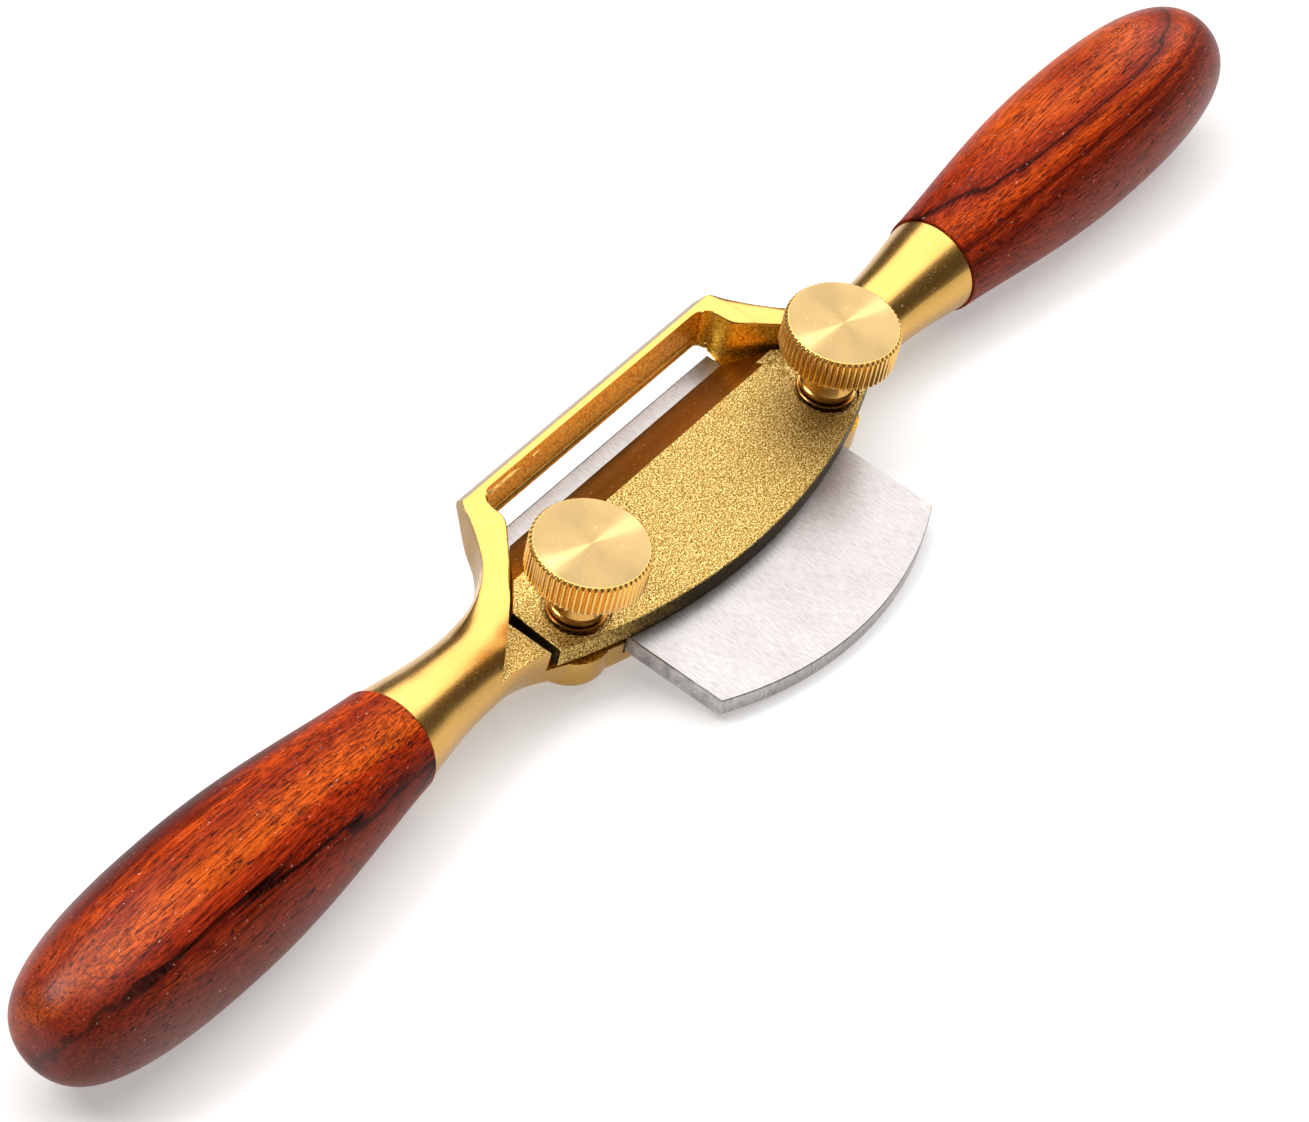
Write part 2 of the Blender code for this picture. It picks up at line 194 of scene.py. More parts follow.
def white_table():
    # Painted glow: the table gives off light of its own, though it is no lamp.
    glass = Finish("white_table", metallic=0.0, specular_ior_level=0.1, emission_strength=0.42)
    tone = glass.noise(glass.place(), 0.02)
    along_halved = glass.place((0.5, 1.0, 1.0))
    away = glass.node("ShaderNodeVectorMath", {"operation": "LENGTH"}, {0: along_halved}, "Value")
    metres_away = away / 1000.0
    # Painted light: the table's colour and glow are brightest near the tool and fade away from it.
    painted_light_pool = glass.ramp(metres_away, (0.05, grey(1.0)), (0.17, grey(0.80)), (0.30, grey(0.78)),
                     (0.70, grey(0.12)))
    white = glass.ramp(tone, (0.3, grey(0.54)), (0.7, grey(0.56)))
    return glass.finish(base_color=glass.mix(1.0, white, painted_light_pool, "MULTIPLY"),
                        emission_color=glass.mix(1.0, (1.0, 0.99, 0.98, 1.0), painted_light_pool, "MULTIPLY"),
                        roughness=glass.span(tone, 0.3, 0.7, 0.65, 0.75))


TABLE_HALF = 6.0
table_mesh = bpy.data.meshes.new("table")
table_mesh.from_pydata([(x * TABLE_HALF, y * TABLE_HALF, 0)
                        for x, y in ((-1, -1), (1, -1), (1, 1), (-1, 1))], [], [(0, 1, 2, 3)])
table_mesh.materials.append(white_table())
table = bpy.data.objects.new("table", table_mesh)
bpy.context.scene.collection.objects.link(table)


# The studio light: a long soft box overhead that reaches down towards the tool's right
# end, a smaller box on the cutting edge's side that throws the shadows, and a dark room
# whose low sides give brass its dark stripes.
def soft_box(name, azimuth, elevation, distance, width, height, radiance):
    """A light panel that the tool sees at these angles in degrees, 0 being along +X."""
    light = bpy.data.lights.new(name, "AREA")
    light.shape = "RECTANGLE"
    light.size, light.size_y = width, height
    light.energy = radiance * math.pi * width * height
    lamp = bpy.data.objects.new(name, light)
    bpy.context.scene.collection.objects.link(lamp)
    a, e = math.radians(azimuth), math.radians(elevation)
    direction = Vector((math.cos(a) * math.cos(e), math.sin(a) * math.cos(e), math.sin(e)))
    lamp.location = direction * distance
    lamp.rotation_euler = direction.to_track_quat("Z", "Y").to_euler()


soft_box("overhead_box", 14, 66, 1.4, 1.85, 2.5, 2.9)
soft_box("key_box", 135, 55, 1.5, 0.6, 0.6, 11.0)
room = bpy.data.worlds.new("room")
room.use_nodes = True
room.node_tree.nodes["Background"].inputs["Color"].default_value = (1.0, 0.80, 0.60, 1.0)
room.node_tree.nodes["Background"].inputs["Strength"].default_value = 0.11
bpy.context.scene.world = room
bpy.context.scene.view_settings.view_transform = "Standard"


# The body: one brass casting with the toe loop in front, the bed for the blade, the
# recess for the cap and both arms. Its outside is satin, and the insides are as cast.
# This section also makes the helpers that turn a drawing in millimetres into a piece.
EDGE_Y, BLADE_HALF, BLADE_THICK, GAP = 17.5, 27.0, 3.2, 0.3
TOE_TOP, TOE_FRONT = (21.45, 8.05), (23.1, 5.7)
TOE_INNER_Y, TOE_DRAFT = 20.05, 0.124
CORNER_X = 30.0
BACK_ARC_Y, BACK_ARC_RADIUS = -12.1, 102.5
LAND_Z, SEAT_Z, BED_Z = 3.0, -1.1, -3.5
RECESS_HALF = 39.8
JOINT_X, JOINT_Y, JOINT_Z = 67.3, 3.63, 1.39
ARM_END_RADIUS = 7.96
HANDLE_AXIS = Vector((1.0, -0.018, 0.031)).normalized()
TANG_RADIUS, SOCKET_DEPTH = 3.0, 15.0
SHANK_RADIUS = 2.5
BOSS_RADIUS, BOSS_TOP, BOSS_FOOT, BOSS_ROUND = 6.2, -1.3, -7.3, 2.0

# The casting's corners, as (x, y, z), from its middle out to the right arm. The wall's
# foot counts its y from the back arc.
TOE_EDGE = [(CORNER_X, *TOE_TOP), (31.5, 19.15, 7.85), (33.3, 16.5, 7.65),
            (35.0, 14.3, 7.5), (36.5, 12.7, 7.4), (39.0, 11.2, 7.25),
            (44.0, 9.9, 7.1), (50.0, 9.5, 6.9)]
CHEEK_FOOT = [(CORNER_X, *TOE_FRONT), (31.5, 20.6, 3.4), (33.0, 18.0, 2.4),
              (35.0, 14.6, 1.6), (38.0, 12.0, 1.0), (44.0, 10.3, 0.3), (50.0, 9.9, 0.0)]
SOLE_MIDDLE = [(CORNER_X, 15.0, -2.4), (32.0, 13.6, -3.6), (34.0, 12.2, -4.4),
               (37.0, 10.8, -4.8), (41.0, 9.6, -4.9), (50.0, 9.0, -4.5)]
HEEL_FRONT = [(28.0, 7.4, -10.0), (30.5, 7.2, -9.8), (33.0, 6.6, -8.8),
              (37.0, 6.0, -7.2), (41.0, 5.6, -6.5), (50.0, 5.5, -6.0)]
HEEL_BACK = [(28.0, 4.6, -9.6), (30.5, 4.4, -9.4), (33.0, 4.0, -8.4),
             (37.0, 3.4, -7.0), (41.0, 3.4, -6.5), (50.0, 3.5, -6.0)]
BED_BACK = [(28.0, 0.5, -5.9), (33.0, 0.4, -5.9), (38.0, 0.4, -5.6),
            (44.0, 0.8, -5.4), (50.0, 1.0, -5.2)]
WALL_FOOT = [(28.0, 0.4, -5.6), (33.0, 0.6, -5.4), (38.0, 0.8, -4.4),
             (44.0, 0.4, -3.7), (50.0, 0.0, -3.4)]

# For each corner in turn: its angle on the round arm in degrees, the steps to the next
# one, and how many millimetres it leans in where the sole ends.
ARM_ANGLES = [55, 15, -25, -70, -85, -110, -140, -215, -305]
EDGE_STEPS = [6, 8, 8, 4, 6, 6, 12, 18]
CORNER_LEAN = [0, 1, 1, 1, 1, 1, 0, 0, 0]
ARM_RADII = [(44.0, 6.4), (49.0, 6.1), (54.0, 6.25), (59.0, 6.75), (63.0, 7.36),
             (JOINT_X, ARM_END_RADIUS)]
ROUND_FROM_X, ROUND_TO_X = 35.0, 50.0
ARM_SAG_Y, ARM_SAG_Z, ARM_SPAN = 0.27, -1.2, 23.3
EDGE_BREAK = 0.22


def track(points, x):
    """A smooth curve through points whose first number is x: returns the others at x."""
    if x <= points[0][0]:
        return points[0][1:]
    if x >= points[-1][0]:
        return points[-1][1:]
    last = len(points) - 1
    i = max(k for k in range(last) if points[k][0] <= x)
    before, a, b, after = (points[max(0, i - 1)], points[i], points[i + 1],
                           points[min(last, i + 2)])
    span = b[0] - a[0]
    t = (x - a[0]) / span
    result = []
    for c in range(1, len(a)):
        slope_a = (b[c] - before[c]) / (b[0] - before[0]) if i else 0.0
        slope_b = (after[c] - a[c]) / (after[0] - a[0])
        result.append((2 * t**3 - 3 * t**2 + 1) * a[c] + (t**3 - 2 * t**2 + t) * span * slope_a
                      + (3 * t**2 - 2 * t**3) * b[c] + (t**3 - t**2) * span * slope_b)
    return tuple(result)


def ease(t):
    t = min(1.0, max(0.0, t))
    return t * t * (3 - 2 * t)


def arc_y(x, middle, radius):
    """The height over x of an arc that is at middle over x = 0."""
    return middle + radius - math.sqrt(radius * radius - x * x)


def between(start, end, share):
    return [a + share * (b - a) for a, b in zip(start, end)]


def casting_ring(x):
    """The casting's skin at x, with a small round along each of its corners."""
    at = min(x, ROUND_TO_X)
    back = arc_y(at, BACK_ARC_Y, BACK_ARC_RADIUS)
    top, foot = track(TOE_EDGE, at), track(WALL_FOOT, at)
    corners = [top, track(CHEEK_FOOT, at), track(SOLE_MIDDLE, at), track(HEEL_FRONT, at),
               track(HEEL_BACK, at), track(BED_BACK, at), (back + foot[0], foot[1]),
               (back, top[1])]
    roundness = ease((x - ROUND_FROM_X) / (ROUND_TO_X - ROUND_FROM_X))
    sag = ((JOINT_X - x) / ARM_SPAN) ** 2
    centre = (JOINT_Y + ARM_SAG_Y * sag, JOINT_Z + ARM_SAG_Z * sag)
    radius = track(ARM_RADII, x)[0]
    lean = 1.0 - ease((x - CORNER_X) / 4.0) if x > HEEL_FRONT[0][0] else 0.0
    square_to_handle = ease((x - ROUND_TO_X) / 15.0)
    ring = []
    for k, steps in enumerate(EDGE_STEPS):
        start, end, prior = corners[k], corners[(k + 1) % len(corners)], corners[k - 1]
        after = min(0.3, EDGE_BREAK / math.dist(start, end))
        before = min(0.3, EDGE_BREAK / math.dist(start, prior))
        for share in [0.0] + [after + (1 - 2 * after) * s / steps for s in range(steps + 1)]:
            angle = math.radians(ARM_ANGLES[k] + share * (ARM_ANGLES[k + 1] - ARM_ANGLES[k]))
            disc = (centre[0] + radius * math.cos(angle), centre[1] + radius * math.sin(angle))
            flat = between(start, end, share)
            if share == 0.0:
                chord = between(between(start, prior, before), between(start, end, after), 0.5)
                flat = between(start, chord, 0.5)
            y, z = between(flat, disc, roundness)
            inwards = lean * (CORNER_LEAN[k] + share * (CORNER_LEAN[k + 1] - CORNER_LEAN[k]))
            swing = (y - JOINT_Y) * HANDLE_AXIS.y + (z - JOINT_Z) * HANDLE_AXIS.z
            ring.append((x - inwards - square_to_handle * swing, y, z))
    return ring


def steps_between(*stops):
    """Places from stop to stop, given as place, step, place, step, place."""
    places = [stops[0]]
    for step, end in zip(stops[1::2], stops[2::2]):
        start = places[-1]
        count = max(1, round((end - start) / step))
        places += [start + (end - start) * k / count for k in range(1, count + 1)]
    return places


def stack(layers):
    """A solid through closed outlines of (x, y, z) points, one after the other."""
    bm = bmesh.new()
    loops = [[bm.verts.new(p) for p in layer] for layer in layers]
    count = len(loops[0])
    for low, high in zip(loops, loops[1:]):
        for i in range(count):
            j = (i + 1) % count
            bm.faces.new((low[i], low[j], high[j], high[i]))
    bm.faces.new(reversed(loops[0]))
    bm.faces.new(loops[-1])
    return bm


def casting_skin():
    """The whole casting before it is cut, from the left arm's end to the right arm's."""
    half = steps_between(0, 2.0, 28, 0.4, 36, 0.8, 50, 1.2, JOINT_X)
    rings = [[(-x, y, z) for x, y, z in casting_ring(s)] for s in reversed(half[1:])]
    rings += [casting_ring(s) for s in half]
    bm = stack(rings)
    bmesh.ops.triangulate(bm, faces=bm.faces)
    return bm


def lathe(profile, segments, tooth=None):
    """Turns (radius, height) points round Z; tooth changes a radius at an angle."""
    bm = bmesh.new()
    rings = []
    for radius, height in profile:
        if radius == 0:
            rings.append([bm.verts.new((0, 0, height))])
            continue
        ring = []
        for k in range(segments):
            a = 2 * math.pi * k / segments
            r = tooth(radius, height, k) if tooth else radius
            ring.append(bm.verts.new((r * math.cos(a), r * math.sin(a), height)))
        rings.append(ring)
    loops = list(zip(rings, rings[1:]))
    if len(rings[0]) > 1:
        loops.append((rings[-1], rings[0]))
    for low, high in loops:
        for k in range(segments):
            n = (k + 1) % segments
            if len(low) == 1:
                bm.faces.new((low[0], high[n], high[k]))
            elif len(high) == 1:
                bm.faces.new((low[k], low[n], high[0]))
            else:
                bm.faces.new((low[k], low[n], high[n], high[k]))
    return bm


def rod(radius, length, segments=64):
    return lathe([(0, 0), (radius, 0), (radius, length), (0, length)], segments)


def handle_axis(side):
    """The way a handle points, side being -1 on the left and 1 on the right."""
    return Vector((side * HANDLE_AXIS.x, HANDLE_AXIS.y, HANDLE_AXIS.z))


def stand(origin, axis=(0, 0, 1)):
    """The matrix of a piece that stands at a point of the tool, with its Z along axis."""
    turn = Vector((0, 0, 1)).rotation_difference(Vector(axis)).to_matrix().to_4x4()
    return tool @ Matrix.Translation(Vector(origin) * MM) @ turn


def add_piece(name, bm, where=tool):
    """Makes an object of a drawing in millimetres."""
    bmesh.ops.scale(bm, vec=(MM, MM, MM), verts=bm.verts)
    bmesh.ops.recalc_face_normals(bm, faces=bm.faces)
    mesh = bpy.data.meshes.new(name)
    bm.to_mesh(mesh)
    bm.free()
    piece = bpy.data.objects.new(name, mesh)
    bpy.context.scene.collection.objects.link(piece)
    piece.matrix_world = where
    return piece


def carve(piece, bm, where=tool, operation="DIFFERENCE"):
    """Cuts a solid out of the piece, or joins it on, and keeps the result."""
    cutter = add_piece("cutter", bm, where)
    change = piece.modifiers.new("carve", "BOOLEAN")
    change.object = cutter
    change.operation = operation
    change.solver = "MANIFOLD"
    bpy.context.view_layer.update()
    result = bpy.data.meshes.new_from_object(
        piece.evaluated_get(bpy.context.evaluated_depsgraph_get()))
    piece.modifiers.clear()
    before, piece.data = piece.data, result
    bpy.data.meshes.remove(before)
    bpy.data.objects.remove(cutter)


def coat(piece, finishes, choose=None, sharp=28):
    """Gives the piece its materials; choose picks one by a face's centre and normal."""
    piece.data.materials.clear()
    for finish in finishes:
        piece.data.materials.append(finish)
    piece.data.shade_smooth()
    piece.data.set_sharp_from_angle(angle=math.radians(sharp))
    if choose:
        for face in piece.data.polygons:
            face.material_index = choose(face.center / MM, face.normal)


def hand_over(piece, body, node):
    """Puts the piece on its moving body, in place of the plain solid."""
    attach(piece, body)
    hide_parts(node)


def recess_edge():
    """The right half of the recess's outline from the middle of the toe to the back."""
    fillet, wall = 3.0, 27.8
    corner = [(wall - fillet * (1 - math.sin(a)), TOE_INNER_Y - fillet * (1 - math.cos(a)))
              for a in (math.radians(d) for d in range(0, 91, 9))]
    cheek = [(27.85, 16.2), (28.1, 15.2), (28.7, 14.35), (29.6, 13.45), (31.3, 11.9),
             (33.55, 9.84), (35.1, 8.6), (36.6, 7.4), (38.2, 6.1), (RECESS_HALF, 4.8)]
    return [(x, TOE_INNER_Y) for x in (4.0, 8.0, 12.0, 16.0, 20.0)] + corner + cheek


def surface_z(x, y):
    """The height of the casting's top over a point."""
    ring = casting_ring(x)
    top = [(p[1], p[2]) for p in ring if p[2] > 1.0]
    return min(top, key=lambda p: abs(p[0] - y))[1]


def recess_cutter():
    """A block whose walls lean with the toe and flare at the top, to round the edge."""
    right = recess_edge()
    tops = [surface_z(x, y) for x, y in right]
    tangents = [Vector((b[0] - a[0], b[1] - a[1])).normalized() for a, b in
                zip([right[0]] + right[:-1], right[1:] + [right[-1]])]
    layers = []
    for flare, rise in ((0.0, None), (0.0, -0.40), (0.05, -0.20), (0.16, -0.07), (0.42, 0.05),
                        (0.42, 6.0)):
        side = []
        for (x, y), top, along in zip(right, tops, tangents):
            z = SEAT_Z if rise is None else top + rise
            lean = TOE_DRAFT * (z - TOE_TOP[1]) * ease((y - 16.0) / 3.0)
            out = flare * ease((y - 5.5) / 2.0)
            side.append((x - along.y * out, y + along.x * out + lean, z))
        side.append((RECESS_HALF, -25.0, side[-1][2]))
        layers.append([(-x, y, z) for x, y, z in reversed(side)] + side)
    return stack(layers)


def boss_profile():
    """The boss that takes a thumbscrew, rounded at its foot."""
    angles = [math.radians(d) for d in range(0, 91, 10)]
    foot = [(BOSS_RADIUS - BOSS_ROUND * (1 - math.cos(a)),
             BOSS_FOOT + BOSS_ROUND * (1 - math.sin(a))) for a in angles]
    return [(0, BOSS_TOP), (BOSS_RADIUS, BOSS_TOP)] + foot + [(0, BOSS_FOOT)]


def shaded(colour, light):
    return tuple(light * part for part in colour)


def satin_brass(name, light):
    """light scales the colour against the casting's plain satin: below 1 is painted shade, above 1
    painted light.
    """
    brass = Finish(name, metallic=1.0)
    point = brass.place()
    scratch = brass.noise(brass.place((0.25, 3.0, 3.0)), 2.0, 3.0, 0.6)
    tarnish = brass.noise(point, 0.12, 2.0)
    colour = brass.ramp(tarnish, (0.3, shaded((0.57, 0.33, 0.085), light)),
                        (0.7, shaded((0.63, 0.37, 0.100), light)))
    dust = brass.span(brass.noise(point, 2.2, 1.0), 0.745, 0.77)
    colour = brass.mix(dust * 0.6, colour, (1.0, 0.86, 0.55, 1.0))
    return brass.finish(base_color=colour, roughness=brass.span(scratch, 0.3, 0.7, 0.24, 0.30),
                        normal=brass.bump(scratch * 0.1 + dust, 0.015))


def cast_brass(name, light):
    """light scales the colour against the inside of the loop; far below 1 it is painted shade."""
    brass = Finish(name, metallic=1.0)
    point = brass.place()
    grain = brass.noise(point, 2.4, 3.0, 0.65)
    colour = brass.ramp(grain, (0.34, shaded((0.42, 0.18, 0.010), light)),
                        (0.50, shaded((0.92, 0.46, 0.03), light)),
                        (0.66, shaded((1.0, 0.74, 0.13), light)))
    return brass.finish(base_color=colour, roughness=brass.span(grain, 0.3, 0.7, 0.35, 0.5),
                        normal=brass.bump(grain, 0.10))


def blasted_brass(name, lift):
    """lift is painted light: how much brighter the brass is painted at the tool's left end."""
    brass = Finish(name, metallic=1.0)
    point = brass.place()
    grain = brass.noise(point, 3.3, 2.0, 0.6)
    speck = brass.noise(point, 5.6, 1.0)
    colour = brass.ramp(grain * 0.5 + speck * 0.5,
                        (0.39, (0.07, 0.034, 0.005)), (0.46, (0.30, 0.17, 0.033)),
                        (0.53, (0.50, 0.33, 0.085)), (0.61, (0.88, 0.75, 0.36)))
    along = brass.node("ShaderNodeSeparateXYZ", {}, {"Vector": point}, "X")
    # Painted light: the colour is lifted towards the tool's left end.
    left_end_painted_light = brass.span(along, -20.0, -36.0, 1.0, lift)
    return brass.finish(base_color=brass.mix(1.0, colour, left_end_painted_light, "MULTIPLY"),
                        roughness=brass.span(grain, 0.3, 0.7, 0.5, 0.62),
                        normal=brass.bump(grain + speck * 0.5, 0.09))


# The cuts: the recess, the bed, and at each end the land, the screw's hole and the
# tang's socket. BEYOND is clear of the casting.
BEYOND = 40.0
casting = add_piece("casting", casting_skin())
for side in (-1, 1):
    carve(casting, lathe(boss_profile(), 96), stand((side * SCREW_X, SCREW_Y, 0)), "UNION")
carve(casting, recess_cutter())
groove, groove_front = BLADE_HALF + GAP, EDGE_Y + 1.5
bed = [(-groove, -BEYOND), (groove, -BEYOND), (groove, groove_front), (-groove, groove_front)]
carve(casting, stack([[(x, y, z) for x, y in bed] for z in (BED_Z, 1.0)]))
for side in (-1, 1):
    land = [(side * x, y) for x, y in ((RECESS_HALF - 1.0, 5.6), (49.3, -1.84), (56.0, -6.6),
                                       (56.0, -BEYOND), (RECESS_HALF - 1.0, -BEYOND))]
    carve(casting, stack([[(x, y, z) for x, y in land] for z in (LAND_Z, 14.0)]))
    carve(casting, rod(SHANK_RADIUS + GAP, 16.0), stand((side * SCREW_X, SCREW_Y, -12.0)))
    overrun = 2.0
    outside = Vector((side * JOINT_X, JOINT_Y, JOINT_Z)) + overrun * handle_axis(side)
    carve(casting, rod(TANG_RADIUS + GAP, SOCKET_DEPTH + overrun),
          stand(outside, -handle_axis(side)))


SATIN, AS_CAST, LAND, TOE_FACE_PAINTED_SHADE, DEEP_PAINTED_SHADE = range(5)


def is_inside(centre, normal):
    """Whether a wall faces the middle of the recess."""
    return normal.x * centre.x + normal.y * (centre.y - 2.0) < 0


def casting_finish(centre, normal):
    x, inside = abs(centre.x), is_inside(centre, normal)
    # Painted shade: the toe's outer front faces get a satin copy at half brightness.
    if normal.y > 0.45 and centre.y > 12 and not inside:
        return TOE_FACE_PAINTED_SHADE
    if abs(centre.z - LAND_Z) < 0.02 and normal.z > 0.99:
        return LAND
    # Painted shade: the recess's far corners by the cap's ends get a nearly black copy of the cast
    # brass.
    if inside and 38.6 < x < RECESS_HALF + 1.5 and SEAT_Z - 0.1 < centre.z < LAND_Z:
        return DEEP_PAINTED_SHADE
    if x < RECESS_HALF + 0.3 and centre.z > BED_Z - 0.1:
        if normal.z > 0.9 and centre.z < 0.0:
            return AS_CAST
        if inside and abs(normal.z) < 0.35 and centre.y > BACK_ARC_Y + 6:
            return AS_CAST
    return SATIN


coat(casting, [satin_brass("satin_brass", 1.0), cast_brass("cast_brass", 1.0),
               blasted_brass("blasted_land", 1.7), satin_brass("toe_front_painted_shade", 0.5),
               cast_brass("deep_recess_painted_shade", 0.07)], casting_finish)
hand_over(casting, "frame", "body_casting")


# The blade: flat tool steel, brushed across, with a rounded back end and an edge ground
# on the underside and honed on top. It slides in the casting's bed.
BLADE_BACK_Y, BLADE_BACK_RADIUS = -31.5, 60.6
GRIND = BLADE_THICK / math.tan(math.radians(30))
BLADE_BREAK, HONE_DEPTH, HONE_LENGTH = 0.12, 0.14, 0.25


def blade_layer(inset, z, edge_y):
    """The blade's outline at one height, pulled in by inset."""
    half = BLADE_HALF - inset
    back = [(half * k / 40, arc_y(half * k / 40, BLADE_BACK_Y + inset, BLADE_BACK_RADIUS), z)
            for k in range(-40, 41)]
    return back + [(half, edge_y, z), (-half, edge_y, z)]


def brushed_steel(name, light, shade):
    """light scales the steel's colour, set per copy as painted light; shade is how much its brush
    lines give back.
    """
    steel = Finish(name, metallic=1.0)
    brush = steel.noise(steel.place((3.6, 0.55, 0.6)), 1.0, 3.0, 0.75)
    cloud = steel.noise(steel.place(), 0.12, 3.0)
    tint = steel.ramp(cloud, (0.35, shaded((1.0, 0.94, 0.915), light)),
                      (0.65, shaded((1.1, 1.04, 1.02), light)))
    lines = steel.ramp(brush, (0.34, grey(shade)), (0.60, grey(1.0)))
    return steel.finish(base_color=steel.mix(1.0, tint, lines, "MULTIPLY"),
                        roughness=steel.span(brush, 0.3, 0.7, 0.32, 0.42),
                        normal=steel.bump(brush, 0.008))


BRUSHED, GROUND = range(2)


def blade_finish(centre, normal):
    return BRUSHED if normal.z > 0.95 else GROUND


grind_start = EDGE_Y - GRIND
blade = add_piece("blade_iron", stack([
    blade_layer(BLADE_BREAK, -BLADE_THICK, grind_start),
    blade_layer(0.0, -BLADE_THICK + BLADE_BREAK, grind_start + 0.2),
    blade_layer(0.0, -HONE_DEPTH, EDGE_Y),
    blade_layer(HONE_DEPTH, 0.0, EDGE_Y - HONE_LENGTH)]))
# Painted light: the sides and ground bevel get a brighter copy of the steel than the top.
coat(blade, [brushed_steel("brushed_steel", 0.37, 0.72),
             brushed_steel("ground_steel_painted_light", 0.50, 0.55)], blade_finish)
hand_over(blade, "blade", "blade")


# The lever cap: a brass plate, sandblasted but for the milled bevel at its nose. It lies
# on the blade and has a counterbore for each screw's washer. The right counterbore runs
# out to the bevel.
CAP_TOP, CAP_BEVEL_BACK, CAP_NOSE_Y = 3.9, 8.5, 14.5
CAP_NOSE_HALF, CAP_SHOULDER, CAP_SIDE_HALF = 26.0, (38.5, 4.9), 39.0
CAP_BREAK = 0.15
POCKET_RADIUS, POCKET_DEPTH, CHANNEL_HALF = 5.1, 0.75, 2.9
pocket_floor = CAP_TOP - POCKET_DEPTH


def cap_layer(inset, z):
    """The cap's outline at one height, pulled in by inset."""
    side = CAP_SIDE_HALF - inset
    back = [(side * k / 48, arc_y(side * k / 48, BACK_ARC_Y + inset, BACK_ARC_RADIUS), z)
            for k in range(-48, 49)]
    shoulder = (CAP_SHOULDER[0] - 0.8 * inset, CAP_SHOULDER[1] - 0.8 * inset)
    nose = (CAP_NOSE_HALF - 0.4 * inset, CAP_NOSE_Y - inset)
    return back + [(*shoulder, z), (*nose, z), (-nose[0], nose[1], z),
                   (-shoulder[0], shoulder[1], z)]


def bevel_wedge():
    """What is milled off the cap's front edge."""
    nose_height = 0.2
    rise = CAP_TOP - GAP - nose_height
    slope = rise / (CAP_NOSE_Y - CAP_BEVEL_BACK)
    out = 6.0
    profile = [(CAP_BEVEL_BACK - out, CAP_TOP + out * slope),
               (CAP_NOSE_Y + out, CAP_TOP - rise - out * slope),
               (CAP_NOSE_Y + out, CAP_TOP + out * slope)]
    bm = bmesh.new()
    left, right = ([bm.verts.new((x, y, z)) for y, z in profile] for x in (-50.0, 50.0))
    bm.faces.new(left)
    bm.faces.new(reversed(right))
    for i in range(3):
        j = (i + 1) % 3
        bm.faces.new((left[i], right[i], right[j], left[j]))
    return bm


def milled_brass():
    brass = Finish("milled_brass", metallic=1.0)
    point = brass.place()
    sweep = brass.noise(brass.place((0.04, 0.5, 0.5)), 1.0, 2.0)
    dust = brass.span(brass.noise(point, 2.4, 1.0), 0.73, 0.76)
    colour = brass.ramp(sweep, (0.3, (0.42, 0.19, 0.030)), (0.7, (0.48, 0.225, 0.038)))
    return brass.finish(base_color=brass.mix(dust, colour, (1.0, 0.80, 0.45, 1.0)),
                        roughness=brass.span(sweep, 0.3, 0.7, 0.26, 0.30),
                        normal=brass.bump(dust, 0.05))


def cap_wall_brass(name, light):
    """The cap's edges, with painted shade: bright at the tool's left end and painted darker
    elsewhere.
    """
    brass = Finish(name, metallic=1.0)
    point = brass.place()
    grain = brass.noise(point, 3.2, 2.0, 0.6)
    along = brass.node("ShaderNodeSeparateXYZ", {}, {"Vector": point}, "X")
    # Painted shade: the colour darkens from the tool's left end towards the middle and stays dark
    # beyond.
    shade = brass.span(along, -34.0, -16.0, light, 0.16 * light)
    colour = brass.ramp(grain, (0.38, (0.08, 0.04, 0.008)), (0.50, (0.42, 0.25, 0.055)),
                        (0.62, (0.90, 0.66, 0.20)))
    return brass.finish(base_color=brass.mix(1.0, colour, shade, "MULTIPLY"),
                        roughness=brass.span(grain, 0.3, 0.7, 0.5, 0.6),
                        normal=brass.bump(grain, 0.10))


BLASTED, MILLED, WALL, END_WALL_PAINTED_SHADE = range(4)


def cap_finish(centre, normal):
    # Painted shade: the cap's end walls get a nearly black copy.
    if abs(normal.x) > 0.5 and normal.z < 0.4:
        return END_WALL_PAINTED_SHADE
    if abs(normal.z) < 0.4:
        return WALL
    return MILLED if normal.y > 0.3 and normal.z > 0.5 else BLASTED


cap = add_piece("cap_plate", stack([
    cap_layer(CAP_BREAK, GAP), cap_layer(0.0, GAP + CAP_BREAK),
    cap_layer(0.0, CAP_TOP - CAP_BREAK), cap_layer(CAP_BREAK, CAP_TOP)]))
carve(cap, bevel_wedge())
bore, rim = SHANK_RADIUS + 2 * GAP, POCKET_RADIUS + 0.3
seat = [(0, -CAP_TOP), (bore, -CAP_TOP), (bore, 0), (POCKET_RADIUS, 0),
        (POCKET_RADIUS, POCKET_DEPTH - 0.1), (rim, POCKET_DEPTH + 0.2), (rim, CAP_TOP),
        (0, CAP_TOP)]
for side in (-1, 1):
    carve(cap, lathe(seat, 96), stand((side * SCREW_X, SCREW_Y, pocket_floor)))
channel_left, channel_right = SCREW_X - CHANNEL_HALF, SCREW_X + CHANNEL_HALF
channel_end = CAP_NOSE_Y + 1.5
channel = [(channel_left, SCREW_Y), (channel_right, SCREW_Y), (channel_right, channel_end),
           (channel_left, channel_end)]
carve(cap, stack([[(x, y, z) for x, y in channel] for z in (pocket_floor, CAP_TOP + 2.0)]))
coat(cap, [blasted_brass("blasted_cap", 1.5), milled_brass(), cap_wall_brass("cap_wall", 1.0),
           cap_wall_brass("cap_end_painted_shade", 0.12)], cap_finish)
hand_over(cap, "lever_cap", "lever_cap")


# The washers: turned brass rings with broken edges, one in each counterbore.
WASHER_RADIUS, WASHER_THICK, WASHER_BREAK = 4.6, 0.85, 0.12


